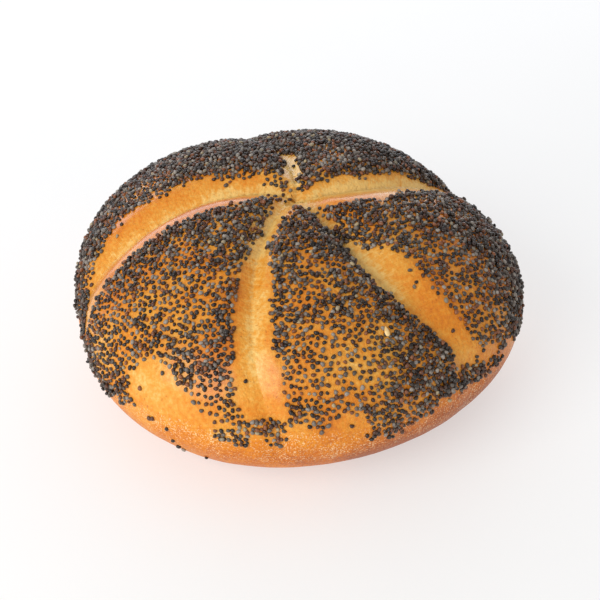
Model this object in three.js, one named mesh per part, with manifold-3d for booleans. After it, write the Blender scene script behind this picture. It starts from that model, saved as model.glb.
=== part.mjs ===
// A round poppy seed bread roll, pressed with a five-armed curling star before it rose.
// It is one solid: the dome with its five petals and five grooves, and the larger seeds fused to it.
// Millimetres, +Z up, with the side that faces the viewer towards -Y. The origin is on the flat base,
// under the middle of the roll's box.
import * as THREE from "three";
import { mergeVertices } from "three/addons/utils/BufferGeometryUtils.js";
import Module from "manifold-3d";

const wasm = await Module();
wasm.setup();

// Driving dimensions of the dome, before the petals and grooves. Two half ovals meet at its
// widest level, and the lower one is cut off by the underside.
const ROLL_RADIUS = 52;
const ROLL_HEIGHT = 49.2;
const WIDEST_LEVEL = 20;
const CROWN_SQUARENESS = 2.09; // 2 is an ellipse, more is squarer
const BELLY_SQUARENESS = 2.05;
const BELLY_REACH = 26; // how far the lower oval would reach under the widest level
const STAR_LEAN = [1.4, 2.7]; // the crown leans this far, in X and Y, and carries the star with it

// The roll stands on the middle of its underside, whose rim lifted a little as it baked.
const FOOT_RADIUS = 29;
const FOOT_CORNERS = 10;
const FOOT_THICKNESS = 2;
const RIM_LIFT = 0.3;

// The plan isn't a true circle: waves around it, as shares of the radius.
const PLAN_WAVES = [
  { waves: 1, cosine: 0.009, sine: 0.011 },
  { waves: 2, cosine: 0.002, sine: -0.015 },
  { waves: 3, cosine: 0.027, sine: 0.002 },
];

// The grooves, in order of turn as seen from above, in degrees and mm. Each leaves the star at
// `start` and curls on by `curl` plus `late` on its way down to the widest level. Its walls are
// `before` wide on the lower side of its turn and `after` wide on the higher side, and seeds
// leave `bareBefore` and `bareAfter` of them free. At tilt `end` it is down to `tail` of its depth.
const GROOVES = [
  {
    start: 152.7, curl: 52.3, late: -7.7, depth: 2.6, before: 6.5, after: 8.5, end: 84, tail: 0.25,
    bareBefore: 6, bareAfter: 9.8,
  },
  {
    start: 230.8, curl: 39.2, late: -2.4, depth: 2.2, before: 5, after: 5, end: 74, tail: 0.25,
    bareBefore: 2.6, bareAfter: 4.4,
  },
  {
    start: 298.9, curl: 6.7, late: 16, depth: 2.9, before: 5.5, after: 8, end: 78, tail: 0.25,
    bareBefore: 1.6, bareAfter: 6,
  },
  {
    start: 368.5, curl: 37.1, late: -12.2, depth: 2.3, before: 8.5, after: 6.5, end: 82, tail: 0.3,
    bareBefore: 7.4, bareAfter: 3.2,
  },
  {
    start: 449.9, curl: 18.1, late: 5.7, depth: 1.3, before: 5.8, after: 5.8, end: 78, tail: 0.3,
    bareBefore: 0.9, bareAfter: 1.1,
  },
];
const PETAL_BULGE = [1.6, 1.4, 1.1, 3.2, 1.5]; // how far out the petal after each groove swells
const STAR_DEPTH = 3.6; // where grooves meet they join to no more than this
const WALL_SHARPNESS = 0.85; // under 1 the bottom of a groove is closer to a V

// Tilts are measured from straight up at the middle of the widest level.
const CURL_ENDS = 90;
const BULGE_TILTS = { starts: 5, full: 45, fades: 70, ends: 110 };
const GROOVE_FADE = 22; // degrees of tilt over which a groove shallows to its tail
const TAIL_TILTS = { fades: 86, ends: 102 };
const LEAN_TILTS = { full: 10, ends: 90 };
const BASE_TILT = 124; // the side is below the rim of the underside here at every turn, and is cut flat

// The dome's mesh: columns that follow the grooves, closer together beside them, and rows of tilt.
const COLUMNS_PER_PETAL = 17;
const COLUMN_CROWDING = 0.45;
const TILT_ROWS = 24;

// Seeds. Each is two short six-sided cones, base to base, sunk by the same share of its height.
// They are the larger poppy seeds, and one sesame seed that strayed onto the roll.
const SEED_LENGTH = 1.25;
const SEED_WIDTH = 1.0;
const SEED_HEIGHT = 0.95;
const SEED_SUNK = 0.42;
const SEED_SIZE_SPREAD = 0.12;
const SEED_SPOTS = 330; // evenly spread spots on the crown, of which the bare ones stay empty
const SEED_LOWEST_TILT = 86;
const SEED_SHIFT = 1.2; // degrees that a seed strays from its spot
const BARE_PATCHES = [
  { turn: 239, tilt: 86, turnReach: 15, tiltReach: 11 },
  { turn: 283, tilt: 88, turnReach: 8, tiltReach: 6 },
];
const SESAME = { turn: 298.2, tilt: 66.6, length: 2.4, width: 1.4, height: 0.9 };
const SEED_SIDES = 6;
const SEED_PROFILE = [
  new THREE.Vector2(0, -0.5),
  new THREE.Vector2(0.5, 0.05),
  new THREE.Vector2(0, 0.5),
]; // of a seed one across and one high
const RANDOM_SEED = 7;

const CRUST_COLOUR = 0xd8923a;
const CRUST_ROUGHNESS = 0.55;

const FULL_TURN = 2 * Math.PI;
const GOLDEN_ANGLE = Math.PI * (3 - Math.sqrt(5));
const MERGE_DISTANCE = 1e-4;
const radians = THREE.MathUtils.degToRad;
const degrees = THREE.MathUtils.radToDeg;
const softStep = THREE.MathUtils.smoothstep; // 0 below the second value, 1 above the third

// An angle brought into the turn from 0 up to 2 pi, and into the half turns either side of 0.
const wrapUp = (angle) => ((angle % FULL_TURN) + FULL_TURN) % FULL_TURN;
const wrapAround = (angle) => wrapUp(angle + Math.PI) - Math.PI;

// The turn at which a groove's bottom lies at this tilt.
function grooveTurn(groove, tilt) {
  const share = Math.min(degrees(tilt), CURL_ENDS) / CURL_ENDS;
  return radians(groove.start + groove.curl * share + groove.late * share * share);
}

// The turn from one groove to the next, across the petal between them.
function petalSpan(index, tilt) {
  const next = GROOVES[(index + 1) % GROOVES.length];
  return wrapUp(grooveTurn(next, tilt) - grooveTurn(GROOVES[index], tilt));
}

// Distance of the plain dome's surface from the middle of its widest level.
function domeReach(tilt, turn) {
  let radius = ROLL_RADIUS;
  for (const { waves, cosine, sine } of PLAN_WAVES)
    radius += ROLL_RADIUS * (cosine * Math.cos(waves * turn) + sine * Math.sin(waves * turn));
  const crown = Math.cos(tilt) >= 0;
  const rise = crown ? ROLL_HEIGHT - WIDEST_LEVEL : BELLY_REACH;
  const squareness = crown ? CROWN_SQUARENESS : BELLY_SQUARENESS;
  const across = (Math.sin(tilt) / radius) ** squareness;
  const along = (Math.abs(Math.cos(tilt)) / rise) ** squareness;
  return (across + along) ** (-1 / squareness);
}

// How far the petals swell out at a point.
function petalBulge(tilt, turn) {
  const { starts, full, fades, ends } = BULGE_TILTS;
  const along = softStep(degrees(tilt), starts, full) * (1 - softStep(degrees(tilt), fades, ends));
  let bulge = 0;
  GROOVES.forEach((groove, index) => {
    const share = wrapUp(turn - grooveTurn(groove, tilt)) / petalSpan(index, tilt);
    if (share < 1) bulge += PETAL_BULGE[index] * Math.sin(Math.PI * share) * along;
  });
  return bulge;
}

// Signed distance round the roll from a groove's bottom, positive towards higher turns.
function besideGroove(groove, tilt, turn, reach) {
  return reach * Math.sin(tilt) * wrapAround(turn - grooveTurn(groove, tilt));
}

// How deep the grooves cut at a point. Where several meet, each takes its share of what is left.
function grooveDepth(tilt, turn, reach) {
  let left = 1;
  for (const groove of GROOVES) {
    const side = besideGroove(groove, tilt, turn, reach);
    const share = Math.min(Math.abs(side) / (side < 0 ? groove.before : groove.after), 1);
    const wall = 0.5 * (1 + Math.cos(Math.PI * share ** WALL_SHARPNESS));
    const shallowing = softStep(degrees(tilt), groove.end - GROOVE_FADE, groove.end);
    const fade = THREE.MathUtils.lerp(1, groove.tail, shallowing);
    const gone = softStep(degrees(tilt), TAIL_TILTS.fades, TAIL_TILTS.ends);
    left *= 1 - (wall * fade * (1 - gone) * groove.depth) / STAR_DEPTH;
  }
  return STAR_DEPTH * (1 - left);
}

// A point of the roll's surface.
function surfacePoint(tilt, turn) {
  const dome = domeReach(tilt, turn);
  const reach = dome + petalBulge(tilt, turn) - grooveDepth(tilt, turn, dome);
  const lean = 1 - softStep(degrees(tilt), LEAN_TILTS.full, LEAN_TILTS.ends);
  const level = WIDEST_LEVEL + reach * Math.cos(tilt);
  return new THREE.Vector3(
    reach * Math.sin(tilt) * Math.cos(turn) + STAR_LEAN[0] * lean,
    reach * Math.sin(tilt) * Math.sin(turn) + STAR_LEAN[1] * lean,
    Math.max(level, RIM_LIFT),
  );
}

// The outward direction of the surface, from two short steps along it.
function surfaceNormal(tilt, turn) {
  const step = 0.01;
  const down = surfacePoint(tilt + step, turn).sub(surfacePoint(tilt - step, turn));
  const round = surfacePoint(tilt, turn + step).sub(surfacePoint(tilt, turn - step));
  return down.cross(round).normalize();
}

// The dome as a sphere's mesh moved onto the surface. The sphere's columns run down the petals, a
// little closer together beside the grooves, and its lowest point becomes the middle of the
// underside.
function domeGeometry() {
  const petals = GROOVES.length;
  const geometry = new THREE.SphereGeometry(1, petals * COLUMNS_PER_PETAL, TILT_ROWS);
  const { position, uv } = geometry.attributes;
  for (let i = 0; i < position.count; i++) {
    const row = Math.round((1 - uv.getY(i)) * TILT_ROWS);
    const column = Math.round(uv.getX(i) * petals * COLUMNS_PER_PETAL);
    if (row === TILT_ROWS) {
      position.setXYZ(i, 0, 0, RIM_LIFT);
      continue;
    }
    const tilt = (radians(BASE_TILT) * row) / (TILT_ROWS - 1);
    const petal = Math.floor(column / COLUMNS_PER_PETAL) % petals;
    const across = (column % COLUMNS_PER_PETAL) / COLUMNS_PER_PETAL;
    const crowded = across - (COLUMN_CROWDING * Math.sin(FULL_TURN * across)) / FULL_TURN;
    const turn = grooveTurn(GROOVES[petal], tilt) + crowded * petalSpan(petal, tilt);
    position.setXYZ(i, ...surfacePoint(tilt, row === 0 ? 0 : turn).toArray());
  }
  return geometry;
}

// The flat that the roll stands on, reaching up into its crumb.
function footGeometry() {
  const foot = new THREE.CylinderGeometry(FOOT_RADIUS, FOOT_RADIUS, FOOT_THICKNESS, FOOT_CORNERS);
  foot.rotateX(Math.PI / 2);
  foot.translate(0, 0, FOOT_THICKNESS / 2);
  return foot;
}

// A closed geometry as a manifold-3d solid.
function solidOf(geometry) {
  geometry.deleteAttribute("normal");
  geometry.deleteAttribute("uv");
  const merged = mergeVertices(geometry, MERGE_DISTANCE);
  const vertProperties = new Float32Array(merged.attributes.position.array);
  const triVerts = new Uint32Array(merged.index.array);
  return new wasm.Manifold(new wasm.Mesh({ numProp: 3, vertProperties, triVerts }));
}

// A repeatable random number from 0 to 1.
function randomFrom(seed) {
  let state = seed;
  return () => {
    state = (state + 0x6d2b79f5) | 0;
    let mixed = Math.imul(state ^ (state >>> 15), 1 | state);
    mixed = (mixed + Math.imul(mixed ^ (mixed >>> 7), 61 | mixed)) ^ mixed;
    return ((mixed ^ (mixed >>> 14)) >>> 0) / 2 ** 32;
  };
}

// Whether seeds lie at this point: not in the grooves, under the lowest seeds or on a bare patch.
function isSeeded(tilt, turn) {
  if (degrees(tilt) > SEED_LOWEST_TILT) return false;
  const reach = domeReach(tilt, turn);
  const inGroove = GROOVES.some((groove) => {
    const side = besideGroove(groove, tilt, turn, reach);
    return side > -groove.bareBefore && side < groove.bareAfter;
  });
  const onPatch = BARE_PATCHES.some((patch) => {
    const round = degrees(wrapAround(turn - radians(patch.turn))) / patch.turnReach;
    return Math.hypot(round, (degrees(tilt) - patch.tilt) / patch.tiltReach) < 1;
  });
  return !inGroove && !onPatch;
}

// A seed of three diameters, turned by `yaw` about the surface's normal and sunk into it.
function seedSolid(tilt, turn, length, width, height, yaw) {
  const normal = surfaceNormal(tilt, turn);
  const geometry = new THREE.LatheGeometry(SEED_PROFILE, SEED_SIDES);
  geometry.rotateX(Math.PI / 2);
  geometry.scale(length, width, height);
  geometry.rotateZ(yaw);
  geometry.translate(0, 0, height * (0.5 - SEED_SUNK));
  geometry.applyQuaternion(new THREE.Quaternion().setFromUnitVectors(new THREE.Vector3(0, 0, 1), normal));
  geometry.translate(...surfacePoint(tilt, turn).toArray());
  return solidOf(geometry);
}

// Poppy seeds on evenly spread spots: a spiral that steps by the golden angle, with a small shift.
function poppySeeds() {
  const random = randomFrom(RANDOM_SEED);
  const swing = () => 2 * random() - 1;
  const capHeight = 1 - Math.cos(radians(SEED_LOWEST_TILT));
  const seeds = [];
  for (let spot = 0; spot < SEED_SPOTS; spot++) {
    const even = Math.acos(1 - (capHeight * (spot + 0.5)) / SEED_SPOTS);
    const tilt = even + radians(SEED_SHIFT) * swing();
    const turn = wrapUp(spot * GOLDEN_ANGLE) + (radians(SEED_SHIFT) * swing()) / Math.sin(even);
    const size = 1 + SEED_SIZE_SPREAD * swing();
    const yaw = Math.PI * random();
    if (isSeeded(tilt, turn))
      seeds.push(seedSolid(tilt, turn, SEED_LENGTH * size, SEED_WIDTH * size, SEED_HEIGHT * size, yaw));
  }
  return seeds;
}

// The sesame seed lies with its length down the roll's side.
function sesameSeed() {
  const { turn, tilt, length, width, height } = SESAME;
  return seedSolid(radians(tilt), radians(turn), length, width, height, radians(turn));
}

// The roll with its seeds fused on, as a geometry whose base is centred on the origin.
function rollGeometry() {
  let roll = solidOf(domeGeometry()).add(solidOf(footGeometry()));
  for (const seed of [sesameSeed(), ...poppySeeds()]) roll = roll.add(seed);
  const mesh = roll.getMesh();
  const geometry = new THREE.BufferGeometry();
  geometry.setAttribute("position", new THREE.BufferAttribute(mesh.vertProperties, 3));
  geometry.setIndex(new THREE.BufferAttribute(mesh.triVerts, 1));
  geometry.computeBoundingBox();
  const middle = geometry.boundingBox.getCenter(new THREE.Vector3());
  geometry.translate(-middle.x, -middle.y, 0);
  return geometry;
}

const crust = new THREE.MeshStandardMaterial({
  color: CRUST_COLOUR,
  roughness: CRUST_ROUGHNESS,
  metalness: 0,
});
const breadRoll = new THREE.Mesh(rollGeometry(), crust);
breadRoll.name = "bread_roll";

const part = new THREE.Group();
part.add(breadRoll);
export default part;
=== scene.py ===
"""A poppy seed bread roll: its fine crust, its loose seeds at true size, and a soft studio.

The file is laid out as a Blender add-on and run as a script. Lengths are millimetres until a mesh
is made, and metres from there. The side that faces the viewer is towards -Y, and +Z is up.
"""

import math
from typing import NamedTuple

import bmesh
import bpy
import numpy as np
from mathutils import Matrix, Vector, noise


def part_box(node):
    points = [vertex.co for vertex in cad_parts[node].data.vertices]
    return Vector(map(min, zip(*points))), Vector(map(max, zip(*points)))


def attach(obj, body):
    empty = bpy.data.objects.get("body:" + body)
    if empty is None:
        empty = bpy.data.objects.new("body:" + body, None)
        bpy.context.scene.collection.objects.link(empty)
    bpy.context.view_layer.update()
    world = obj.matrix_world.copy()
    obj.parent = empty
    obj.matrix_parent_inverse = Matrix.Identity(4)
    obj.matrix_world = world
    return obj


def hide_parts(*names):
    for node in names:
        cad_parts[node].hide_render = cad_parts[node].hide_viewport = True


bl_info = {
    "name": "Poppy Seed Bread Roll",
    "version": (1, 0, 0),
    "blender": (4, 5, 0),
    "location": "View3D > Sidebar > Bread Roll",
    "description": "Builds the crust, the seeds and the studio of a star-pressed bread roll",
    "category": "Add Mesh",
}

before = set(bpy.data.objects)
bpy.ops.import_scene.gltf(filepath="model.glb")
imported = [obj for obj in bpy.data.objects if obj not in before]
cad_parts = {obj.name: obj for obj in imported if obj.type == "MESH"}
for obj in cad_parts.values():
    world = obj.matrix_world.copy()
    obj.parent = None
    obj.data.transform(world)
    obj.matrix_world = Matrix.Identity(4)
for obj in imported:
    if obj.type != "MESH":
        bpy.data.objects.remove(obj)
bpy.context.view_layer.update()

MM = 0.001
FULL_TURN = 2 * math.pi

# The dome before its petals and grooves: two half ovals that meet at its widest level.
ROLL_RADIUS = 52.0
ROLL_HEIGHT = 49.2
WIDEST_LEVEL = 20.0
CROWN_SQUARENESS = 2.09
BELLY_SQUARENESS = 2.05
BELLY_REACH = 26.0
STAR_LEAN = (1.4, 2.7)
PLAN_WAVES = ((1, 0.009, 0.011), (2, 0.002, -0.015), (3, 0.027, 0.002))  # waves, cosine, sine
ROLL_MIDDLE = (2.021, 1.047)  # the middle of the roll's box, seen from the middle of its dome

# The underside: a flat foot, and a rim that lifted a little as the roll baked.
FOOT_RADIUS = 26.0
RIM_LIFT = 0.3
RIM_ROUNDNESS = 0.9
FOOT_FADE = 7.0
BASE_TILT = 124.0
CROWN_TILT = 1e-4  # radians from the very crown, where no way leads round the roll
COLUMN_CROWDING = 0.45  # how much closer the columns of the mesh lie beside the grooves


class Groove(NamedTuple):
    """One arm of the pressed star. Turns and tilts are degrees, lengths millimetres."""

    start: float  # turn at the star
    curl: float  # turn added on the way down to the widest level
    late: float  # turn added by the square of the way
    depth: float
    before: float  # width of the wall on the lower side of its turn
    after: float
    end: float  # tilt by which it has shallowed to its tail
    tail: float


GROOVES = (
    Groove(152.7, 52.3, -7.7, 2.6, 6.5, 8.5, 84, 0.25),
    Groove(230.8, 39.2, -2.4, 2.2, 5.0, 5.0, 74, 0.25),
    Groove(298.9, 6.7, 16.0, 2.9, 5.5, 8.0, 78, 0.25),
    Groove(368.5, 37.1, -12.2, 2.3, 8.5, 6.5, 82, 0.3),
    Groove(449.9, 18.1, 5.7, 1.3, 5.8, 5.8, 78, 0.3),
)
PETAL_BULGE = (1.6, 1.4, 1.1, 3.2, 1.5)  # how far out the petal after each groove swells
STAR_DEPTH = 3.6
WALL_SHARPNESS = 0.85
CURL_ENDS = 90.0
BULGE_STARTS = (5.0, 45.0)
BULGE_FADES = (70.0, 110.0)
GROOVE_FADE = 22.0
TAIL_FADES = (86.0, 102.0)
LEAN_FADES = (10.0, 90.0)

# Where the finish of the crust changes: reaches in millimetres from a groove's bottom, and tilts.
# Reach of the painted shade in the pits along a crease.
PIT_REACH = 0.8
STRETCHED_REACH = 6.5
# Tilts over which the painted glints on the belly's blisters come and go.
GLINT_STARTS = (79, 89)
GLINT_ENDS = (96, 110)
WASH_ENDS = (80, 94)
WASH_MISSED = 0.85  # share of the egg wash that the belly lacks
WASH = 0.72  # weight of the satin skin that the wash leaves

# Relief of the crust, all of it inwards from the smooth form.
SWELL_SIZE = 14.0
SWELL_DEPTH = 0.30
BLISTER_SIZE = 3.4
BLISTER_DEPTH = 0.10
CREASE_DEPTH = 0.34
CREASE_WIDTH = 0.55
WRINKLE_DEPTH = 0.16
WRINKLE_REACH = 2.6
WRINKLE_SIZE = (5.0, 1.1)  # across the groove, and along it
STRAND_SIZE = (5.0, 0.9)
WANDER = 0.35  # how far a crease strays from its groove's bottom
WANDER_LENGTH = 4.0
BEAD_LENGTH = 1.6  # of the deeper and shallower stretches of a crease
RELIEF_STARTS = (RIM_LIFT + 0.6, 5.0)  # levels over which the relief grows

# Seeds. `sunk` is the share of a seed's height that the crust holds.
SEED_SIDES = 7
SEED_RINGS = 5
SEED_SUNK = 0.26
KIDNEY_BEND = 0.55
KIDNEY_SHIFT = 0.06  # brings the bent seed back over its middle
SEED_SIZE_SPREAD = 0.11
SEED_LOWEST_TILT = 87.6
DARTS_PER_MM2 = 16.0
LOOSEST = 0.75  # how much further apart seeds lie where their cover falls to nothing
ROW_SPACING = 2.05  # of the arcs that the seeds fall into on the front petals
ROW_STRENGTH = 0.22
ROW_SWAY = 0.9  # how far those arcs stray, as a share of their spacing
ROW_SWAY_SIZE = 8.0
CLUMPS = ((0.54, 1.9, 4.4), (0.30, 4.5, 1.4))  # strength, size and shift of each noise
EDGE_NOISE = ((1.0, 2.4, 2.2), (0.6, 1.1, 5.9))
CROSSING_STRAY = 0.25  # how much that noise frays the zones where seeds cross a groove
CROSSED_FROM = (0.35, 0.65)
LOWEST_NOISE = ((1.6, 8.0, 8.1),)  # how the lowest seeds stray up and down, in degrees of tilt
LOWEST_STRAY = 1.3
LOWEST_SOFTNESS = 1.2
BARE_BELOW = 0.24  # least closeness at which a seed lies
HEAPED_FROM = (0.90, 1.7)  # closeness at which a second layer starts, and is full
SEED_ROCK = (0.16, 0.30)  # radians that a seed rocks by, and what the second layer adds
STAR_THINS = (3.0, 15.0)  # tilts over which the seeds close up, away from the star
STAR_COVER = 0.45  # share of the usual cover that is left at the star
UPPER_LIFT = 0.62  # how far seeds of the second layer sit above the first, in seed heights


class Zone(NamedTuple):
    """A patch of the crust, an oval in turn and tilt, in which a value is moved by `amount`."""

    turn: float
    tilt: float
    turn_reach: float
    tilt_reach: float
    amount: float


# Width in millimetres that the seeds leave bare beside each groove's bottom, on the lower and the
# higher side of its turn, as pairs of a tilt in degrees and a width.
BARE_WIDTHS = (
    (((5, 2.0), (22, 4.4), (31, 4.2), (40, 6.4), (60, 8.2), (69, 7.2), (76, 3.8), (80, 1.2)),
     ((5, 1.8), (12, 4.6), (17, 5.8), (22, 8.8), (30, 9.3), (45, 10.0), (72, 9.6), (80, 8.0))),
    (((5, 1.0), (20, 1.7), (31, 0.8), (37, 1.7), (46, 2.8), (62, 3.4), (74, 5.2)),
     ((3, 2.4), (10, 3.6), (20, 3.9), (38, 2.4), (46, 4.9), (60, 5.0), (70, 5.4), (80, 5.0))),
    (((10, 0.8), (22, 0.5), (43, 0.3), (51, 2.4), (58, 2.0), (66, 1.4), (74, 0.7)),
     ((8, 2.2), (27, 1.8), (42, 2.5), (47, 6.5), (54, 8.2), (60, 7.0), (76, 5.7), (82, 5.0))),
    (((8, 4.5), (14, 7.2), (22, 9.3), (36, 9.3), (43, 6.5), (50, 6.8), (58, 5.0)),
     ((8, 2.2), (16, 3.8), (23, 3.9), (32, 3.1), (50, 3.3), (60, 2.2))),
    (((4, 0.8), (12, 0.8), (20, 1.9), (34, 1.8), (42, 0.4)),
     ((4, 0.8), (10, 3.0), (18, 2.6), (26, 1.1), (38, 1.1), (44, 0.0))),
)

# Width of the ragged edge on each of those sides, in millimetres.
EDGE_WIDTHS = ((4.2, 1.0), (1.2, 1.2), (0.7, 1.4), (1.2, 1.6), (1.4, 1.4))

# Where seeds lie across a groove in spite of that.
CROSSING_ZONES = (
    Zone(309, 9.5, 9, 4, 1.0),
    Zone(305, 33, 12, 6.5, 1.0),
    Zone(193, 87, 12, 9.5, 1.0),
    Zone(264, 88, 12, 6.5, 1.0),
    Zone(318, 87, 20, 8.0, 1.0),
)

# How far the seeds thin out or close up, from a cover of 1 on each petal.
PETAL_COVER = (0.95, 0.95, 0.84, 1.35, 1.25)
COVER_ZONES = (
    Zone(228, 60, 25, 20, -0.40),
    Zone(214, 80, 18, 13, -0.40),
    Zone(201, 86, 6, 6, 0.30),
    Zone(327, 26, 20, 12, 0.25),
    Zone(297, 86, 7, 6, -0.30),
    Zone(236, 83, 9.5, 9.5, -1.6),
    Zone(244, 87, 9, 8, -1.4),
    Zone(253, 82, 9, 10, -0.42),
    Zone(274, 50, 16, 14, -0.33),
    Zone(282, 71, 18, 14.5, -0.56),
    Zone(296, 64, 6, 5, -0.35),
    Zone(277, 86, 6, 6, -0.25),
    Zone(284, 87.5, 7, 5.5, -1.3),
    Zone(331, 66, 14, 24, -0.34),
    Zone(352, 72, 14, 26, 0.15),
    Zone(320, 80.8, 6, 3.2, -1.2),
    Zone(328, 83.8, 5, 2.2, -1.2),
    Zone(336, 87.2, 5, 2.2, -1.2),
    Zone(291, 76, 8, 6, -0.16),
    Zone(202, 50, 9, 7, 0.35),
    Zone(311, 40, 10, 8, 0.35),
    Zone(172, 5, 34, 5, -0.9),
    Zone(190, 13, 15, 5, -0.6),
    Zone(105, 14, 12, 5, -0.9),
    Zone(251, 18, 9, 5, -0.9),
    Zone(295, 6, 16, 4.5, -0.9),
    Zone(190, 81, 14, 12, -0.45),
    Zone(168, 70, 14, 16, -0.35),
    Zone(156, 58, 15, 12, -0.5),
    Zone(219, 11, 11, 4.5, -0.9),
)

# How much lower or higher than usual the lowest seeds lie, in degrees of tilt.
LOWEST_ZONES = (
    Zone(214, 88, 20, 40, 4.4),
    Zone(263, 88, 13, 40, 3.2),
    Zone(294, 88, 12, 40, 3.6),
    Zone(283, 88, 6, 40, -2.5),
    Zone(323, 88, 10, 40, 2.2),
    Zone(350, 88, 12, 40, 1.6),
)

# Seeds that strayed from the others, as turns and tilts.
STRAY_SEEDS = (
    (235.2, 90.0), (236.1, 89.6), (240.0, 91.1), (240.8, 95.4), (241.4, 98.2), (242.0, 100.2),
    (248.2, 101.0), (232.0, 83.0), (237.2, 77.3), (240.2, 76.3), (249.0, 82.9), (246.8, 81.4),
    (319.2, 73.8), (319.4, 55.7), (318.4, 59.3), (317.0, 60.2), (281.4, 82.9), (284.6, 86.1),
    (291.2, 89.8), (166.0, 51.0), (164.6, 45.4), (177.2, 63.8), (181.0, 66.0), (258.6, 75.0),
    (162.6, 3.1), (151.0, 7.2), (80.2, 6.3), (59.4, 7.7), (50.0, 8.9), (47.0, 10.4),
    (116.0, 10.4), (116.6, 6.3), (124.4, 9.1), (178.6, 10.0), (173.0, 13.4), (200.0, 15.9),
)

# Browning of the crust, from 0 for straw to 1 for chestnut, with painted shade and painted light laid on
# by some of the zones. Reaches, places, sizes and levels are millimetres, and tilts degrees.
BAKED = 0.44  # on a plain stretch of a petal
PALER_BOTTOM = 0.34
BOTTOM_REACH = 2.6
PALER_WALL = 0.02
WALL_PLACE = 5.0  # how far the middle of a groove's wall is from its bottom
WALL_REACH = 2.2
PATCHY = 0.10
PATCH_SIZE = 17.0
BROWNER_FOOT = 0.25
FOOT_LEVELS = (0.5, 7.0)
BROWNER_BELLY = 0.14
BELLY_TILTS = (84, 98)
BAKE_AND_SHADING_ZONES = (
    Zone(236, 84, 24, 16, -0.04),
    Zone(320, 66, 13, 18, 0.09),
    # Painted shade: the lower right of the belly, which faces away from the key light, made browner.
    Zone(325, 104, 46, 20, 0.42),
    Zone(0, 0, 400, 17, 0.05),
    # Painted light: paler crust in and beside the groove at a turn of about 20, where the lamps light it
    # dimly.
    Zone(20, 42, 20, 30, -0.09),
    # Painted shade: the wall on the higher side of the groove at a turn of about 180, which faces away
    # from the key light, made browner.
    Zone(192, 46, 10, 32, 0.22),
    # Painted shade: the wall on the lower side of the groove at a turn of about 255, which lies in the
    # key light's shade, made browner.
    Zone(250, 62, 8, 26, 0.18),
    Zone(272, 102, 40, 14, 0.12),
    Zone(180, 50, 16, 26, 0.10),
    Zone(296, 98, 24, 12, 0.10),
)


def linear(hex_colour):
    """A colour for a shader from an sRGB hex value."""
    shares = (int(hex_colour[at:at + 2], 16) / 255 for at in (0, 2, 4))
    return tuple(s / 12.92 if s <= 0.04045 else ((s + 0.055) / 1.055) ** 2.4 for s in shares)


def soft_step(value, low, high):
    """0 below `low`, 1 above `high`, and a smooth rise between them."""
    share = np.clip((value - low) / (high - low), 0, 1)
    return share * share * (3 - 2 * share)


def wrap_up(angle):
    """An angle brought into the turn from 0 up to two pi."""
    return np.mod(angle, FULL_TURN)


def wrap_around(angle):
    """An angle brought into the half turns on either side of 0."""
    return wrap_up(angle + math.pi) - math.pi


def groove_turn(groove, tilt):
    """The turn at which a groove's bottom lies at this tilt."""
    share = np.minimum(np.degrees(tilt), CURL_ENDS) / CURL_ENDS
    return np.radians(groove.start + groove.curl * share + groove.late * share * share)


def petal_span(index, tilt):
    """The turn from one groove to the next."""
    following = GROOVES[(index + 1) % len(GROOVES)]
    return wrap_up(groove_turn(following, tilt) - groove_turn(GROOVES[index], tilt))


def dome_reach(tilt, turn):
    """Distance of the plain dome's surface from the middle of its widest level."""
    radius = ROLL_RADIUS
    for waves, cosine, sine in PLAN_WAVES:
        radius = radius + ROLL_RADIUS * (cosine * np.cos(waves * turn) + sine * np.sin(waves * turn))
    crown = np.cos(tilt) >= 0
    rise = np.where(crown, ROLL_HEIGHT - WIDEST_LEVEL, BELLY_REACH)
    squareness = np.where(crown, CROWN_SQUARENESS, BELLY_SQUARENESS)
    across = (np.abs(np.sin(tilt)) / radius) ** squareness
    along = (np.abs(np.cos(tilt)) / rise) ** squareness
    return (across + along) ** (-1 / squareness)


def petal_bulge(tilt, turn):
    """How far the petals swell out at a point."""
    degrees = np.degrees(tilt)
    along = soft_step(degrees, *BULGE_STARTS) * (1 - soft_step(degrees, *BULGE_FADES))
    bulge = 0
    for index, groove in enumerate(GROOVES):
        share = wrap_up(turn - groove_turn(groove, tilt)) / petal_span(index, tilt)
        bulge = bulge + np.where(share < 1, PETAL_BULGE[index] * np.sin(np.pi * share), 0)
    return bulge * along


def beside_groove(groove, tilt, turn, reach):
    """Signed distance round the roll from a groove's bottom, positive towards higher turns."""
    return reach * np.sin(tilt) * wrap_around(turn - groove_turn(groove, tilt))


def groove_fade(groove, tilt):
    """The share of its depth that a groove has at this tilt."""
    degrees = np.degrees(tilt)
    shallowing = soft_step(degrees, groove.end - GROOVE_FADE, groove.end)
    gone = soft_step(degrees, *TAIL_FADES)
    return (1 + (groove.tail - 1) * shallowing) * (1 - gone)


def groove_depth(tilt, turn, reach):
    """How deep the grooves cut. Where several meet, each takes its share of what is left."""
    left = 1
    for groove in GROOVES:
        side = beside_groove(groove, tilt, turn, reach)
        share = np.minimum(np.abs(side) / np.where(side < 0, groove.before, groove.after), 1)
        wall = 0.5 * (1 + np.cos(np.pi * share ** WALL_SHARPNESS))
        left = left * (1 - wall * groove_fade(groove, tilt) * groove.depth / STAR_DEPTH)
    return STAR_DEPTH * (1 - left)


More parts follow.
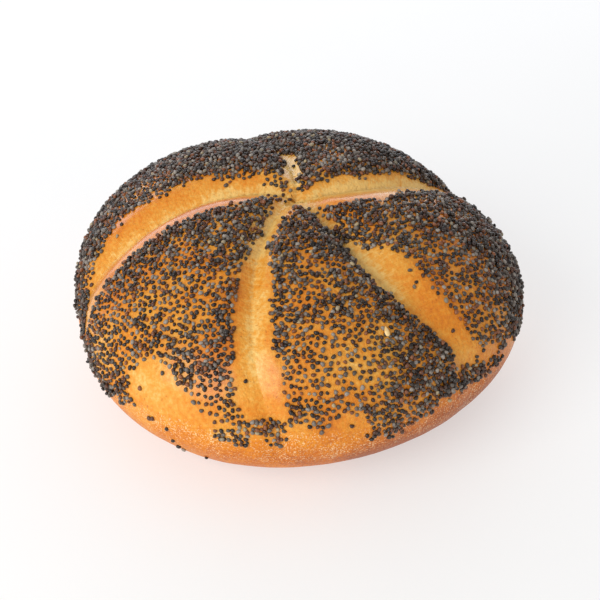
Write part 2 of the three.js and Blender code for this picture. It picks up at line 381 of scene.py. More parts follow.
def surface(tilt, turn):
    """Points of the smooth roll, in millimetres, for arrays of tilt and turn."""
    dome = dome_reach(tilt, turn)
    reach = dome + petal_bulge(tilt, turn) - groove_depth(tilt, turn, dome)
    lean = 1 - soft_step(np.degrees(tilt), *LEAN_FADES)
    above_rim = WIDEST_LEVEL + reach * np.cos(tilt) - RIM_LIFT
    level = RIM_LIFT + 0.5 * (above_rim + np.sqrt(above_rim ** 2 + RIM_ROUNDNESS ** 2))
    across = reach * np.sin(tilt)
    return np.stack((
        across * np.cos(turn) + STAR_LEAN[0] * lean - ROLL_MIDDLE[0],
        across * np.sin(turn) + STAR_LEAN[1] * lean - ROLL_MIDDLE[1],
        level,
    ), axis=-1)


def slopes(tilt, turn):
    """Unit directions down and round the roll, and outwards, at arrays of tilt and turn."""
    step = 0.008
    down = surface(tilt + step, turn) - surface(tilt - step, turn)
    around = surface(tilt, turn + step) - surface(tilt, turn - step)
    out = np.cross(down, around)
    out /= np.linalg.norm(out, axis=-1, keepdims=True)
    down /= np.linalg.norm(down, axis=-1, keepdims=True)
    return down, np.cross(out, down), out


def nearest_groove(tilt, turn):
    """Signed distance from the nearest groove's bottom, and that groove's share of its depth."""
    dome = dome_reach(tilt, turn)
    side = np.full(np.shape(tilt), np.inf)
    fade = np.zeros(np.shape(tilt))
    for groove in GROOVES:
        this_side = beside_groove(groove, tilt, turn, dome)
        nearer = np.abs(this_side) < np.abs(side)
        side = np.where(nearer, this_side, side)
        fade = np.where(nearer, groove_fade(groove, tilt), fade)
    return side, fade


def near_bottom(side, fade, reach):
    """A groove's share of its depth at its bottom, falling off over this reach to each side."""
    return np.exp(-(side / reach) ** 2) * fade


def noise_at(points, size, shift=0.0):
    """Smooth noise from -1 to 1 at each point, with features of this size in millimetres.

    The shift picks a part of the noise, so that no two uses of it look alike.
    """
    return np.array([noise.noise(Vector(p)) for p in points / size + shift])


def layered_noise(points, layers):
    """A sum of noises, each given by its strength, its size in millimetres and its shift."""
    return sum(strength * noise_at(points, size, shift) for strength, size, shift in layers)


def flow_coordinates(tilt, turn):
    """Distance across the nearest groove and down the roll, as points for a noise."""
    side, _ = nearest_groove(tilt, turn)
    return np.stack((side, dome_reach(tilt, turn) * tilt, np.zeros_like(side)), axis=-1)


def relief(tilt, turn, points):
    """How far the crust lies inside its smooth form: swells, blisters, creases and wrinkles."""
    side, fade = nearest_groove(tilt, turn)
    along = dome_reach(tilt, turn) * tilt
    swell = 0.5 * SWELL_DEPTH * (1 + noise_at(points, SWELL_SIZE))
    blister = 0.5 * BLISTER_DEPTH * (1 + noise_at(points, BLISTER_SIZE, 7.3))
    lines = np.stack((side / WRINKLE_SIZE[0], along / WRINKLE_SIZE[1], 0 * side), axis=-1)
    bottom = near_bottom(side, fade, WRINKLE_REACH)
    wrinkle = WRINKLE_DEPTH * bottom * (0.5 + 0.5 * noise_at(lines, 1.0, 3.1))
    way = np.stack((0 * side, along, 0 * side), axis=-1)
    wander = WANDER * noise_at(way, WANDER_LENGTH, 9.7)
    uneven = 0.6 + 0.4 * noise_at(way, BEAD_LENGTH, 1.9)
    crease = CREASE_DEPTH * uneven * fade * np.exp(-((side - wander) / CREASE_WIDTH) ** 2)
    return (swell + blister + wrinkle + crease) * soft_step(points[:, 2], *RELIEF_STARTS)


def crust_points(tilt, turn):
    """Points of the crust with its relief, in millimetres."""
    smooth = surface(tilt, turn)
    _, _, out = slopes(tilt, turn)
    return smooth - out * relief(tilt, turn, smooth)[:, None]


def zone_sum(zones, tilt, turn):
    """The amounts of the zones at each point, each fading out to the edge of its oval."""
    total = np.zeros(np.shape(tilt))
    for zone in zones:
        round_share = np.degrees(wrap_around(turn - math.radians(zone.turn))) / zone.turn_reach
        tilt_share = (np.degrees(tilt) - zone.tilt) / zone.tilt_reach
        total += zone.amount * (1 - soft_step(np.hypot(round_share, tilt_share), 0.35, 1.15))
    return total


def new_piece(name, mesh, material, body="root"):
    """Puts a finished mesh into the scene as a piece of the roll."""
    mesh.materials.clear()
    mesh.materials.append(material)
    piece = bpy.data.objects.new(name, mesh)
    bpy.context.scene.collection.objects.link(piece)
    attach(piece, body)
    return piece


def set_values(mesh, name, values):
    """Stores one number for each of a mesh's points, under a name that a material can read."""
    attribute = mesh.attributes.new(name, "FLOAT", "POINT")
    attribute.data.foreach_set("value", np.asarray(values, np.float32))


def add(tree, kind, settings=None, inputs=None):
    """Adds a shader node, sets its settings, and sets or links its inputs."""
    node = tree.nodes.new(kind)
    for name, value in (settings or {}).items():
        setattr(node, name, value)
    for socket, value in (inputs or {}).items():
        if isinstance(value, bpy.types.NodeSocket):
            tree.links.new(value, node.inputs[socket])
        else:
            node.inputs[socket].default_value = value
    return node


def set_ramp(node, stops):
    """Gives a colour ramp its stops: pairs of a place from 0 to 1 and an RGB colour or a grey."""
    elements = node.color_ramp.elements
    while len(elements) > 1:
        elements.remove(elements[-1])
    for index, (place, colour) in enumerate(stops):
        element = elements[0] if index == 0 else elements.new(place)
        element.position = place
        element.color = (*colour, 1) if hasattr(colour, "__len__") else (colour, colour, colour, 1)
    return node


def per_mm(size):
    """The scale of a pattern on Object coordinates whose features are this many millimetres."""
    return 1 / (size * MM)


def new_material(name, surface_inputs):
    """A material with one Principled shader, whose plain values are set on its own sockets."""
    material = bpy.data.materials.new(name)
    material.use_nodes = True
    shader = material.node_tree.nodes["Principled BSDF"]
    for socket, value in surface_inputs.items():
        shader.inputs[socket].default_value = value
    return material, material.node_tree, shader


def blend_colours(tree, factor, first, second):
    """A mix of two colours, as an output socket. The colours are a Mix node's inputs 6 and 7."""
    inputs = {0: factor, 6: first, 7: second}
    return add(tree, "ShaderNodeMix", {"data_type": "RGBA"}, inputs).outputs[2]


def crust_material(colours):
    """Baked wheat dough, washed with egg before the oven.

    Where the pressed star stretched it, it stays straw yellow, and its swollen sides are golden
    orange to brown. The wash leaves a thin satin skin that catches grazing light. Tiny blisters
    and specks break the colour up, with painted glints on the belly's blisters and painted shade
    in the pits of the creases.
    """
    material, tree, shader = new_material("egg_washed_crust", {
        "Roughness": 0.5, "IOR": 1.42, "Specular IOR Level": 0.2,
        "Coat Roughness": 0.22, "Coat IOR": 1.4,
    })
    place = add(tree, "ShaderNodeTexCoord").outputs["Object"]

    def stored(name, output="Fac"):
        return add(tree, "ShaderNodeAttribute", {"attribute_name": name}).outputs[output]

    def noise_fac(size, detail, coordinates=place, scale=None, distortion=0.0):
        inputs = {"Vector": coordinates, "Scale": scale or per_mm(size), "Detail": detail,
                  "Distortion": distortion}
        return add(tree, "ShaderNodeTexNoise", None, inputs).outputs["Fac"]

    def arithmetic(operation, first, second, third=0.0):
        inputs = {0: first, 1: second, 2: third}
        return add(tree, "ShaderNodeMath", {"operation": operation}, inputs).outputs[0]

    def swing(value, strength):
        """A noise from 0 to 1, made to swing to either side of 0."""
        return arithmetic("MULTIPLY_ADD", value, strength, -strength / 2)

    def laid_over(under, mask, rise, strength, over):
        """A colour laid over another, from nothing where the mask is at the start of its rise."""
        stops = [(rise[0], 0.0), (rise[1], strength)]
        share = set_ramp(add(tree, "ShaderNodeValToRGB", None, {"Fac": mask}), stops)
        return blend_colours(tree, share.outputs["Color"], under, (*colours[over], 1))

    flow = stored("flow", "Vector")
    clouds = swing(noise_fac(8.0, 5.0), 0.62)
    grain = swing(noise_fac(0.9, 3.0), 0.60)
    browned_and_shaded = arithmetic("ADD", arithmetic("ADD", stored("bake"), clouds), grain)

    # Dough that was pulled across a groove shows its strands, which run across it.
    strands = add(tree, "ShaderNodeVectorMath", {"operation": "MULTIPLY"}, {
        0: flow, 1: (1 / STRAND_SIZE[0], 1 / STRAND_SIZE[1], 1.0),
    }).outputs["Vector"]
    strand = swing(noise_fac(None, 4.0, strands, 1.0, 1.6), 0.5)
    browned_and_shaded = arithmetic("MULTIPLY_ADD", strand, stored("stretched"), browned_and_shaded)
    colour = set_ramp(add(tree, "ShaderNodeValToRGB", None, {"Fac": browned_and_shaded}), [
        (0.08, colours["straw"]), (0.30, colours["gold"]), (0.52, colours["orange"]),
        (0.76, colours["brown"]), (0.98, colours["chestnut"]),
    ]).outputs["Color"]

    colour = laid_over(colour, noise_fac(0.75, 2.0), (0.66, 0.74), 0.5, "speck")

    # Painted shade: darker dots in the pits along the bottom of a groove, where shade falls.
    pit_shade_mask = arithmetic("MULTIPLY", stored("bottom"), noise_fac(None, 2.0, flow, 0.9))
    colour = laid_over(colour, pit_shade_mask, (0.42, 0.58), 0.4, "pit_shade")

    # Painted glints: near-white flecks where the belly's skin blistered, standing for light that
    # sparkles on the tiny blisters.
    glint_patches = arithmetic("MULTIPLY_ADD", noise_fac(7.0, 2.0), 0.5, 0.74)
    blister_glints = arithmetic("MULTIPLY", arithmetic("MULTIPLY", stored("low"), noise_fac(0.36, 1.5)), glint_patches)
    colour = laid_over(colour, blister_glints, (0.56, 0.67), 0.6, "blister_glint")
    tree.links.new(colour, shader.inputs["Base Color"])

    # The wash was brushed on from above, so the belly's underside stays matte.
    tree.links.new(arithmetic("MULTIPLY", stored("washed"), WASH), shader.inputs["Coat Weight"])
    roughness = add(tree, "ShaderNodeMapRange", None, {
        "Value": noise_fac(2.2, 3.0), "To Min": 0.36, "To Max": 0.60,
    })
    tree.links.new(roughness.outputs["Result"], shader.inputs["Roughness"])

    fine = add(tree, "ShaderNodeBump", None, {
        "Height": noise_fac(0.6, 4.0), "Strength": 0.9, "Distance": 0.22 * MM,
    })
    wrinkled = add(tree, "ShaderNodeBump", None, {
        "Height": noise_fac(2.4, 5.0), "Strength": 0.6, "Distance": 0.6 * MM,
        "Normal": fine.outputs["Normal"],
    })
    tree.links.new(wrinkled.outputs["Normal"], shader.inputs["Normal"])
    return material


def seed_material(name, dark, middle, light):
    """Ripe poppy seed hulls: dull, netted and slate to brown, with a faint waxy lustre.

    Each seed takes its own shade. The net of the hull is under a tenth of a millimetre and can't
    show, so its bump is drawn three times as coarse.
    """
    material, tree, shader = new_material(name, {
        "Roughness": 0.42, "IOR": 1.47, "Specular IOR Level": 0.6,
    })
    place = add(tree, "ShaderNodeTexCoord").outputs["Object"]
    shade = add(tree, "ShaderNodeAttribute", {"attribute_name": "shade"}).outputs["Fac"]
    mottle = add(tree, "ShaderNodeTexNoise", None, {
        "Vector": place, "Scale": per_mm(0.35), "Detail": 2.0,
    }).outputs["Fac"]
    mixed = add(tree, "ShaderNodeMath", {"operation": "MULTIPLY_ADD"}, {0: mottle, 1: 0.5, 2: shade})
    shifted = add(tree, "ShaderNodeMath", {"operation": "SUBTRACT"}, {0: mixed.outputs[0], 1: 0.25})
    colour = set_ramp(add(tree, "ShaderNodeValToRGB", None, {"Fac": shifted.outputs[0]}), [
        (0.05, dark), (0.5, middle), (0.95, light),
    ]).outputs["Color"]
    tree.links.new(colour, shader.inputs["Base Color"])
    bump = add(tree, "ShaderNodeBump", None, {
        "Height": mottle, "Strength": 0.4, "Distance": 0.08 * MM,
    })
    tree.links.new(bump.outputs["Normal"], shader.inputs["Normal"])
    return material


def sesame_material(name, pale, toasted):
    """A hulled sesame seed, toasted to cream with browner clouds, smooth and slightly oily."""
    material, tree, shader = new_material(name, {"Roughness": 0.38, "IOR": 1.47})
    place = add(tree, "ShaderNodeTexCoord").outputs["Object"]
    cloud = add(tree, "ShaderNodeTexNoise", None, {
        "Vector": place, "Scale": per_mm(0.8), "Detail": 3.0,
    }).outputs["Fac"]
    colour = set_ramp(add(tree, "ShaderNodeValToRGB", None, {"Fac": cloud}), [
        (0.35, pale), (0.75, toasted),
    ]).outputs["Color"]
    tree.links.new(colour, shader.inputs["Base Color"])
    bump = add(tree, "ShaderNodeBump", None, {
        "Height": cloud, "Strength": 0.3, "Distance": 0.05 * MM,
    })
    tree.links.new(bump.outputs["Normal"], shader.inputs["Normal"])
    return material


def paper_floor_material(colour):
    """A matte white sweep of paper over a light table: even, with no shine that would draw the eye."""
    material, tree, shader = new_material("white_paper", {
        "Roughness": 0.9, "Emission Color": (1, 1, 1, 1), "Emission Strength": 0.5,
    })
    place = add(tree, "ShaderNodeTexCoord").outputs["Object"]
    fibre = add(tree, "ShaderNodeTexNoise", None, {
        "Vector": place, "Scale": per_mm(40.0), "Detail": 3.0,
    }).outputs["Fac"]
    tone = set_ramp(add(tree, "ShaderNodeValToRGB", None, {"Fac": fibre}), [
        (0.3, tuple(0.985 * c for c in colour)), (0.7, colour),
    ]).outputs["Color"]
    tree.links.new(tone, shader.inputs["Base Color"])
    return material


class CrustSettings(bpy.types.PropertyGroup):
    """What a user would change on the crust."""

    columns: bpy.props.IntProperty(
        name="Columns a petal", description="Mesh columns from one groove to the next",
        default=96, min=12, max=110)
    rows: bpy.props.IntProperty(
        name="Rows", description="Mesh rows from the crown to the middle of the underside",
        default=205, min=24, max=260)
    under_rows: bpy.props.IntProperty(
        name="Underside rows", description="How many of the rows lie on the underside",
        default=14, min=3, max=40)
    straw: bpy.props.FloatVectorProperty(
        name="Straw", description="Stretched dough at the bottom of a groove",
        subtype="COLOR", default=linear("F4C874"))
    gold: bpy.props.FloatVectorProperty(
        name="Gold", description="Lightly baked crust", subtype="COLOR", default=linear("E9A23C"))
    orange: bpy.props.FloatVectorProperty(
        name="Orange", description="Crust of the petals", subtype="COLOR", default=linear("E2871E"))
    brown: bpy.props.FloatVectorProperty(
        name="Brown", description="Well baked crust", subtype="COLOR", default=linear("CC6E1C"))
    chestnut: bpy.props.FloatVectorProperty(
        name="Chestnut", description="The brownest crust", subtype="COLOR", default=linear("A6551E"))
    speck: bpy.props.FloatVectorProperty(
        name="Speck", description="Tiny darker specks", subtype="COLOR", default=linear("A85A22"))
    # Painted shade in the pits along a crease.
    pit_shade: bpy.props.FloatVectorProperty(
        name="Pit", description="Dough in the pits of a crease", subtype="COLOR",
        default=linear("C09146"))
    # Painted glints: near-white flecks for light sparkling on the belly's blisters.
    blister_glint: bpy.props.FloatVectorProperty(
        name="Fleck", description="Painted glints on the belly's blisters", subtype="COLOR",
        default=linear("FFE0B0"))


class SeedSettings(bpy.types.PropertyGroup):
    """What a user would change on the seeds."""

    length: bpy.props.FloatProperty(
        name="Length", description="Length of a poppy seed", unit="LENGTH", default=1.08 * MM,
        min=0.5 * MM, precision=5)
    width: bpy.props.FloatProperty(
        name="Width", description="Width of a poppy seed", unit="LENGTH", default=0.88 * MM,
        min=0.4 * MM, precision=5)
    height: bpy.props.FloatProperty(
        name="Height", description="Height of a poppy seed", unit="LENGTH", default=0.78 * MM,
        min=0.3 * MM, precision=5)
    spacing: bpy.props.FloatProperty(
        name="Spacing", description="Least distance between two seeds' middles", unit="LENGTH",
        default=0.76 * MM, min=0.5 * MM, precision=5)
    random_seed: bpy.props.IntProperty(
        name="Random seed", description="Start of every random draw", default=11)


class StageSettings(bpy.types.PropertyGroup):
    """What a user would change on the studio."""

    elevation: bpy.props.FloatProperty(
        name="Camera elevation", description="Height of the camera above level", subtype="ANGLE",
        default=math.radians(36))
    distance: bpy.props.FloatProperty(
        name="Camera distance", description="From the camera to the middle of the roll",
        unit="LENGTH", default=0.350)
    lens: bpy.props.FloatProperty(
        name="Lens", description="Focal length on a 36 mm sensor", unit="CAMERA", default=88.9)
    shift: bpy.props.FloatVectorProperty(
        name="Shift", description="Shift of the picture, as a share of its width", size=2,
        default=(0.0167, -0.0258))
    floor: bpy.props.FloatVectorProperty(
        name="Floor", description="Colour of the floor", subtype="COLOR", default=(0.5, 0.5, 0.5))


def crust_colours():
    """The crust's colours, by name."""
    settings = bpy.context.scene.roll_crust
    names = ("straw", "gold", "orange", "brown", "chestnut", "speck", "pit_shade", "blister_glint")
    return {name: tuple(getattr(settings, name)) for name in names}


def bake_and_shading_values(tilt, turn, points):
    """How brown the crust is, from 0 for straw to 1 for chestnut, with the painted shade and painted
    light of some zones.
    """
    side, fade = nearest_groove(tilt, turn)
    bottom = PALER_BOTTOM * near_bottom(side, fade, BOTTOM_REACH)
    wall = PALER_WALL * near_bottom(np.abs(side) - WALL_PLACE, fade, WALL_REACH)
    patchy = PATCHY * noise_at(points, PATCH_SIZE, 5.5)
    foot = BROWNER_FOOT * (1 - soft_step(points[:, 2], *FOOT_LEVELS))
    belly = BROWNER_BELLY * soft_step(np.degrees(tilt), *BELLY_TILTS)
    return BAKED - bottom - wall + patchy + foot + belly + zone_sum(BAKE_AND_SHADING_ZONES, tilt, turn)


class ROLL_OT_crust(bpy.types.Operator):
    """Build the crust: a sphere moved onto the dome, its petals, its grooves and its underside"""

    bl_idname = "bread_roll.crust"
    bl_label = "Build the crust"

    def execute(self, context):
        settings = context.scene.roll_crust
        petals = len(GROOVES)
        columns = petals * settings.columns
        rows = settings.rows
        ball = bmesh.new()
        bmesh.ops.create_uvsphere(ball, u_segments=columns, v_segments=rows, radius=1)
        mesh = bpy.data.meshes.new("crust")
        ball.to_mesh(mesh)
        ball.free()

        ball_points = np.zeros(3 * len(mesh.vertices))
        mesh.vertices.foreach_get("co", ball_points)
        x, y, z = ball_points.reshape(-1, 3).T
        row = np.rint(np.arccos(np.clip(z, -1, 1)) / math.pi * rows)
        column = np.rint(wrap_up(np.arctan2(y, x)) / FULL_TURN * columns).astype(int) % columns

        side_rows = rows - settings.under_rows
        tilt = np.radians(BASE_TILT) * np.minimum(row / side_rows, 1)
        petal = column // settings.columns
        across = (column % settings.columns) / settings.columns
        crowded = across - COLUMN_CROWDING * np.sin(FULL_TURN * across) / FULL_TURN
        starts = np.choose(petal, [groove_turn(groove, tilt) for groove in GROOVES])
        spans = np.choose(petal, [petal_span(index, tilt) for index in range(petals)])
        turn = wrap_up(starts + crowded * spans)
        turn[row == 0] = 0
        tilt = np.maximum(tilt, CROWN_TILT)

        points = crust_points(tilt, turn)
        inwards = np.clip((row - side_rows) / settings.under_rows, 0, 1)
        points[:, :2] *= (1 - inwards)[:, None]
        from_middle = np.hypot(points[:, 0], points[:, 1])
        foot = soft_step(from_middle, FOOT_RADIUS, FOOT_RADIUS + FOOT_FADE)
        points[:, 2] = np.where(inwards > 0, points[:, 2] * foot, points[:, 2])
        mesh.vertices.foreach_set("co", (points * MM).ravel())

        side, fade = nearest_groove(tilt, turn)
        degrees = np.degrees(tilt)
        # Where the belly carries its painted glints.
        low = soft_step(degrees, *GLINT_STARTS) * (1 - soft_step(degrees, *GLINT_ENDS))
        set_values(mesh, "bake", bake_and_shading_values(tilt, turn, points))
        # Mask of the painted shade in the pits along a crease.
        set_values(mesh, "bottom", near_bottom(side, fade, PIT_REACH))
        set_values(mesh, "stretched", near_bottom(side, fade, STRETCHED_REACH))
        set_values(mesh, "low", low)
        set_values(mesh, "washed", 1 - WASH_MISSED * soft_step(degrees, *WASH_ENDS))
        flow = mesh.attributes.new("flow", "FLOAT_VECTOR", "POINT")
        flow.data.foreach_set("vector", flow_coordinates(tilt, turn).astype(np.float32).ravel())
        mesh.shade_smooth()
        mesh.update()

        shell = bmesh.new()
        shell.from_mesh(mesh)
        bmesh.ops.recalc_face_normals(shell, faces=shell.faces)
        shell.to_mesh(mesh)
        shell.free()

        piece = new_piece("crust", mesh, crust_material(crust_colours()))
        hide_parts("bread_roll")
        return {"FINISHED"}


def seed_template(sides, rings):
    """Points and faces of a kidney one long, wide and high, lying on its flat side."""
    grain = bmesh.new()
    bmesh.ops.create_uvsphere(grain, u_segments=sides, v_segments=rings, radius=0.5)
    bmesh.ops.rotate(grain, verts=grain.verts, matrix=Matrix.Rotation(math.pi / 2, 3, "Y"))
    for vert in grain.verts:
        vert.co.y += KIDNEY_BEND * vert.co.x ** 2 - KIDNEY_SHIFT
    grain.verts.ensure_lookup_table()
    points = np.array([vert.co[:] for vert in grain.verts])
    faces = [[vert.index for vert in face.verts] for face in grain.faces]
    grain.free()
    return points, faces


def seed_cover(tilt, turn):
    """How much of the crust the seeds cover at each point: 0 is bare, and over 1 is heaped."""
    dome = dome_reach(tilt, turn)
    smooth = surface(tilt, turn)
    degrees = np.degrees(tilt)
    base = np.zeros(np.shape(tilt))
    for index, groove in enumerate(GROOVES):
        share = wrap_up(turn - groove_turn(groove, tilt)) / petal_span(index, tilt)
        base = np.where(share < 1, PETAL_COVER[index], base)
    base = base + zone_sum(COVER_ZONES, tilt, turn)
    base = base * (STAR_COVER + (1 - STAR_COVER) * soft_step(degrees, *STAR_THINS))
    edge_noise = layered_noise(smooth, EDGE_NOISE)
    crossing = np.clip(zone_sum(CROSSING_ZONES, tilt, turn) + CROSSING_STRAY * edge_noise, 0, 1)
    for groove, (before, after), edges in zip(GROOVES, BARE_WIDTHS, EDGE_WIDTHS):
        side = beside_groove(groove, tilt, turn, dome)
        width = np.where(side < 0, np.interp(degrees, *zip(*before)), np.interp(degrees, *zip(*after)))
        edge = 0.6 * np.where(side < 0, *edges)
        ragged = np.abs(side) + (0.7 + 0.4 * edge) * edge_noise
        bare = 1 - soft_step(ragged, width - edge, width + edge)
        base = base * (1 - bare * (1 - soft_step(crossing, *CROSSED_FROM)))
    lowest = SEED_LOWEST_TILT + zone_sum(LOWEST_ZONES, tilt, turn)
    lowest = lowest + layered_noise(smooth, LOWEST_NOISE) + LOWEST_STRAY * edge_noise
    return base * (1 - soft_step(degrees, lowest - LOWEST_SOFTNESS, lowest + LOWEST_SOFTNESS))


def clear_of_others(points, spacings):
    """Which points keep their own spacing from those kept before them, by a grid of cells."""
    kept = []
    taken = {}
    reach = (-1, 0, 1)
    neighbours = [(a, b, c) for a in reach for b in reach for c in reach]
    cells = np.floor(points / spacings.max()).astype(int)
    for index, (point, cell, gap) in enumerate(zip(points.tolist(), cells.tolist(), spacings.tolist())):
        others = (
            other
            for a, b, c in neighbours
            for other in taken.get((cell[0] + a, cell[1] + b, cell[2] + c), ())
        )
        if all(math.dist(point, other) >= gap for other in others):
            taken.setdefault(tuple(cell), []).append(point)
            kept.append(index)
    return np.array(kept, int)


def thrown_darts(random):
    """Turns and tilts of darts thrown evenly over the seeded part of the roll."""
    lowest = math.radians(SEED_LOWEST_TILT + 6)
    area = FULL_TURN * ROLL_RADIUS * (ROLL_HEIGHT - WIDEST_LEVEL + 30)
    count = int(DARTS_PER_MM2 * area)
    tilt = random.uniform(0.02, lowest, count)
    turn = random.uniform(0, FULL_TURN, count)
    step = 0.01
    down = surface(tilt + step, turn) - surface(tilt - step, turn)
    around = surface(tilt, turn + step) - surface(tilt, turn - step)
    patch = np.linalg.norm(np.cross(down, around), axis=-1)
    kept = random.uniform(0, patch.max(), count) < patch
    return tilt[kept], turn[kept]


def scattered_seeds(random, spacing):
    """Tilts, turns and layers of the poppy seeds."""
    tilt, turn = thrown_darts(random)
    smooth = surface(tilt, turn)
    cover = seed_cover(tilt, turn)
    down = dome_reach(tilt, turn) * tilt
    sway = ROW_SWAY * noise_at(smooth, ROW_SWAY_SIZE, 6.6)
    front = soft_step(np.cos(turn - math.radians(262)), 0.35, 0.8) * soft_step(np.degrees(tilt), 18, 28)
    rows = ROW_STRENGTH * front * np.cos(FULL_TURN * (down / ROW_SPACING + sway))
    clumps = layered_noise(smooth, CLUMPS)
    closeness = np.where(cover > 0.05, cover + (rows + clumps) * np.minimum(2 * cover, 1), 0)
    wanted = closeness > BARE_BELOW
    tilt, turn, smooth, closeness = tilt[wanted], turn[wanted], smooth[wanted], closeness[wanted]
    spacings = spacing * (1 + LOOSEST * np.clip(0.95 - closeness, 0, 1))
    lower = clear_of_others(smooth, spacings)
    left = np.setdiff1d(np.arange(len(tilt)), lower)
    heaped = left[closeness[left] > random.uniform(*HEAPED_FROM, len(left))]
    upper = heaped[clear_of_others(smooth[heaped], 1.2 * spacings[heaped])]
    chosen = np.concatenate((lower, upper))
    layer = np.concatenate((np.zeros(len(lower)), np.ones(len(upper)), np.zeros(len(STRAY_SEEDS))))
    strays = np.radians(np.array(STRAY_SEEDS).T)
    return np.append(tilt[chosen], strays[1]), np.append(turn[chosen], strays[0]), layer


def laid_seeds(template, tilt, turn, sizes, layer, random):
    """Corner points of every seed, in metres, laid on the crust, turned and rocked at random."""
    count = len(tilt)
    down, around, out = slopes(tilt, turn)
    yaw = random.uniform(0, FULL_TURN, count)
    rock = random.normal(0, SEED_ROCK[0] + SEED_ROCK[1] * layer, (2, count))
    along = np.cos(yaw)[:, None] * down + np.sin(yaw)[:, None] * around + rock[0][:, None] * out
    along /= np.linalg.norm(along, axis=-1, keepdims=True)
    up = out - rock[1][:, None] * np.cross(out, along)
    up -= np.sum(up * along, axis=-1, keepdims=True) * along
    up /= np.linalg.norm(up, axis=-1, keepdims=True)
    across = np.cross(up, along)
    lift = sizes[:, 2] * (0.5 - SEED_SUNK + UPPER_LIFT * layer)
    middle = crust_points(tilt, turn) + lift[:, None] * out
    scaled = template[None] * sizes[:, None, :]
    corners = (scaled[..., 0:1] * along[:, None] + scaled[..., 1:2] * across[:, None]
               + scaled[..., 2:3] * up[:, None])
    return (corners + middle[:, None]) * MM


def joined_mesh(name, corners, faces):
    """One mesh of many like seeds: `corners` has a block of points for each seed."""
    count, points_each = corners.shape[:2]
    loops = np.concatenate([np.array(face) for face in faces])
    sizes = np.array([len(face) for face in faces])
    vertex_index = (loops[None] + points_each * np.arange(count)[:, None]).ravel()
    face_sizes = np.tile(sizes, count)
    mesh = bpy.data.meshes.new(name)
    mesh.vertices.add(count * points_each)
    mesh.vertices.foreach_set("co", corners.ravel())
    mesh.loops.add(len(vertex_index))
    mesh.loops.foreach_set("vertex_index", vertex_index)
    mesh.polygons.add(len(face_sizes))
    mesh.polygons.foreach_set("loop_start", np.concatenate(([0], np.cumsum(face_sizes)[:-1])))
    mesh.update(calc_edges=True)
    mesh.shade_smooth()
    return mesh


def inside_box(corners):
    """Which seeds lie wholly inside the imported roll's box."""
    low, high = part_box("bread_roll")
    return np.all((corners > np.array(low)) & (corners < np.array(high)), axis=(1, 2))


# Kinds of poppy seed: name, share of the seeds, dark, middle and light colour.
SEED_KINDS = (
    ("charcoal", 0.265, "1E1714", "41372F", "6E655D"),
    ("slate", 0.265, "2E2621", "665A50", "978E84"),
    ("umber", 0.218, "170E0B", "352016", "5E3A24"),
    ("russet", 0.217, "20130E", "512F1F", "8C5430"),
    ("pale", 0.035, "6C6458", "8C826F", "B09B74"),
)


class ROLL_OT_poppy_seeds(bpy.types.Operator):
    """Scatter the poppy seeds, one joined piece for each kind"""

    bl_idname = "bread_roll.poppy_seeds"
    bl_label = "Scatter the poppy seeds"

    def execute(self, context):
        settings = context.scene.roll_seeds
        random = np.random.default_rng(settings.random_seed)
        template, faces = seed_template(SEED_SIDES, SEED_RINGS)
        tilt, turn, layer = scattered_seeds(random, settings.spacing / MM)
        size = np.array((settings.length, settings.width, settings.height)) / MM
        spread = 1 + SEED_SIZE_SPREAD * random.standard_normal((len(tilt), 1)).clip(-2, 2)
        sizes = size[None] * spread * random.uniform(0.94, 1.06, (len(tilt), 3))
        corners = laid_seeds(template, tilt, turn, sizes, layer, random)
        inside = inside_box(corners)
        kind_draw = random.uniform(0, 1, len(tilt))
        shade = random.uniform(0, 1, len(tilt))
        start = 0.0
        for kind, share, dark, middle, light in SEED_KINDS:
            mine = inside & (kind_draw >= start) & (kind_draw < start + share)
            start += share
            name = "poppy_seeds_" + kind
            mesh = joined_mesh(name, corners[mine], faces)
            set_values(mesh, "shade", np.repeat(shade[mine], len(template)))
            material = seed_material("poppy_hull_" + kind, linear(dark), linear(middle), linear(light))
            new_piece(name, mesh, material)
            print(name, int(mine.sum()), "seeds")
        return {"FINISHED"}


# Stray grains: name, turn and tilt, size in millimetres, the way each points in degrees, and how
# much narrower its tip is.
STRAY_GRAINS = (
    ("sesame_seed", 298.2, 66.6, (2.3, 1.4, 0.8), 176.0, 0.62),
    ("pale_sliver", 294.2, 31.4, (1.7, 0.55, 0.4), -20.0, 0.30),
)
GRAIN_LIFT = 0.75  # of a grain's middle above the crust, as a share of its height


class ROLL_OT_stray_grains(bpy.types.Operator):
    """Lay the one stray sesame seed and the pale sliver among the poppy seeds"""

    bl_idname = "bread_roll.stray_grains"
    bl_label = "Lay the stray grains"

    def execute(self, context):
        material = sesame_material("toasted_sesame", linear("F7D9A0"), linear("E9B766"))
        for name, turn, tilt, size, yaw, taper in STRAY_GRAINS:
            drop = bmesh.new()
            bmesh.ops.create_uvsphere(drop, u_segments=24, v_segments=16, radius=0.5)
            bmesh.ops.rotate(drop, verts=drop.verts, matrix=Matrix.Rotation(math.pi / 2, 3, "Y"))
            for vert in drop.verts:
                narrow = 1 - taper * (vert.co.x + 0.5) ** 1.5
                vert.co.y *= narrow
                vert.co.z *= narrow
            where = (np.array([math.radians(tilt)]), np.array([math.radians(turn)]))
            down, around, out = (Vector(v[0]) for v in slopes(*where))
            spot = Vector(crust_points(*where)[0]) + out * size[2] * GRAIN_LIFT
            along = math.cos(math.radians(yaw)) * down + math.sin(math.radians(yaw)) * around
            axes = Matrix((along, out.cross(along), out)).transposed().to_4x4()
            place = Matrix.Translation(spot * MM) @ axes @ Matrix.Diagonal((*(s * MM for s in size), 1))
            bmesh.ops.transform(drop, matrix=place, verts=drop.verts)
            mesh = bpy.data.meshes.new(name)
            drop.to_mesh(mesh)
            drop.free()
            mesh.shade_smooth()
            new_piece(name, mesh, material)
        return {"FINISHED"}


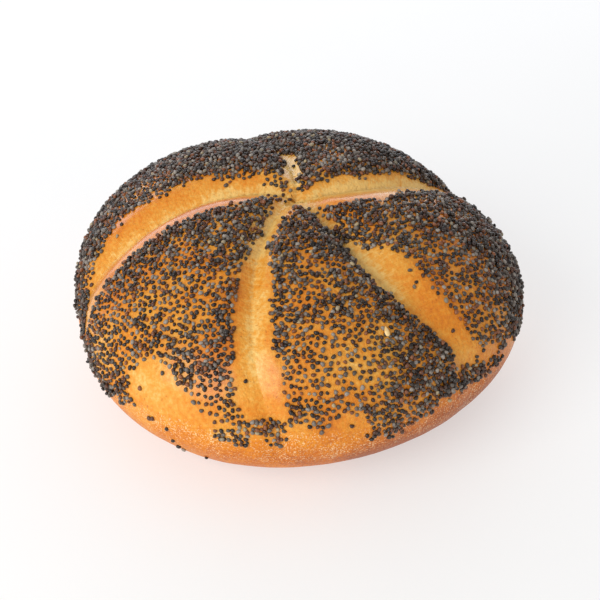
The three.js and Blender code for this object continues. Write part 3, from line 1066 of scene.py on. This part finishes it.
def aimed(thing, place, target):
    """Puts a light or a camera at a place, looking at a target."""
    thing.location = place
    direction = Vector(target) - Vector(place)
    thing.rotation_euler = direction.to_track_quat("-Z", "Y").to_euler()
    return thing


# Soft lights: name, place, width and height of the panel, power in watts and colour.
PANELS = (
    ("key_from_the_left", (-0.40, -0.48, 0.38), (0.50, 0.50), 3.55, (1.0, 0.985, 0.96)),
    ("sky_from_behind", (-0.08, 0.60, 0.20), (1.0, 0.40), 2.7, (0.84, 0.90, 1.0)),
)
ROOM_LIGHT = 0.52  # strength of the even light from all round
FLOOR_REACH = 3.0  # metres from the roll to each side of the floor
TARGET_LEVEL = 24.0  # millimetres above the floor at which the camera looks


class ROLL_OT_stage(bpy.types.Operator):
    """Set the camera, a white floor and soft lights around the roll"""

    bl_idname = "bread_roll.stage"
    bl_label = "Set the studio"

    def execute(self, context):
        settings = context.scene.roll_stage
        target = Vector((-ROLL_MIDDLE[0], -ROLL_MIDDLE[1], TARGET_LEVEL)) * MM
        lens = bpy.data.cameras.new("camera")
        lens.type = "PERSP"
        lens.sensor_fit = "HORIZONTAL"
        lens.sensor_width = 36
        lens.lens = settings.lens
        lens.shift_x, lens.shift_y = settings.shift
        lens.clip_start = 0.01
        camera = bpy.data.objects.new("camera", lens)
        context.scene.collection.objects.link(camera)
        back = Vector((0, -math.cos(settings.elevation), math.sin(settings.elevation)))
        aimed(camera, target + settings.distance * back, target)
        context.scene.camera = camera

        sweep = bmesh.new()
        bmesh.ops.create_grid(sweep, x_segments=4, y_segments=4, size=FLOOR_REACH)
        mesh = bpy.data.meshes.new("floor")
        sweep.to_mesh(mesh)
        sweep.free()
        mesh.materials.append(paper_floor_material(tuple(settings.floor)))
        floor = bpy.data.objects.new("floor", mesh)
        context.scene.collection.objects.link(floor)

        for name, place, size, power, tint in PANELS:
            panel = bpy.data.lights.new(name, "AREA")
            panel.shape = "RECTANGLE"
            panel.size, panel.size_y = size
            panel.energy = power
            panel.color = tint
            light = bpy.data.objects.new(name, panel)
            context.scene.collection.objects.link(light)
            aimed(light, place, target)

        world = bpy.data.worlds.new("white_room")
        world.use_nodes = True
        sky = world.node_tree.nodes["Background"]
        sky.inputs["Color"].default_value = (1, 1, 1, 1)
        sky.inputs["Strength"].default_value = ROOM_LIGHT
        context.scene.world = world
        context.scene.view_settings.view_transform = "Standard"
        context.scene.view_settings.look = "None"
        return {"FINISHED"}


STEPS = (ROLL_OT_crust, ROLL_OT_poppy_seeds, ROLL_OT_stray_grains, ROLL_OT_stage)


class ROLL_PT_panel(bpy.types.Panel):
    """Lists the steps that build the roll"""

    bl_idname = "ROLL_PT_panel"
    bl_label = "Bread Roll"
    bl_space_type = "VIEW_3D"
    bl_region_type = "UI"
    bl_category = "Bread Roll"

    def draw(self, context):
        for step in STEPS:
            self.layout.operator(step.bl_idname)


SETTINGS = (("roll_crust", CrustSettings), ("roll_seeds", SeedSettings), ("roll_stage", StageSettings))
CLASSES = (*(group for _, group in SETTINGS), *STEPS, ROLL_PT_panel)


def register():
    for cls in CLASSES:
        bpy.utils.register_class(cls)
    for name, group in SETTINGS:
        setattr(bpy.types.Scene, name, bpy.props.PointerProperty(type=group))


def unregister():
    for name, _ in SETTINGS:
        delattr(bpy.types.Scene, name)
    for cls in reversed(CLASSES):
        bpy.utils.unregister_class(cls)


def main():
    register()
    bpy.ops.bread_roll.crust()
    bpy.ops.bread_roll.poppy_seeds()
    bpy.ops.bread_roll.stray_grains()
    bpy.ops.bread_roll.stage()


if __name__ == "__main__":
    main()
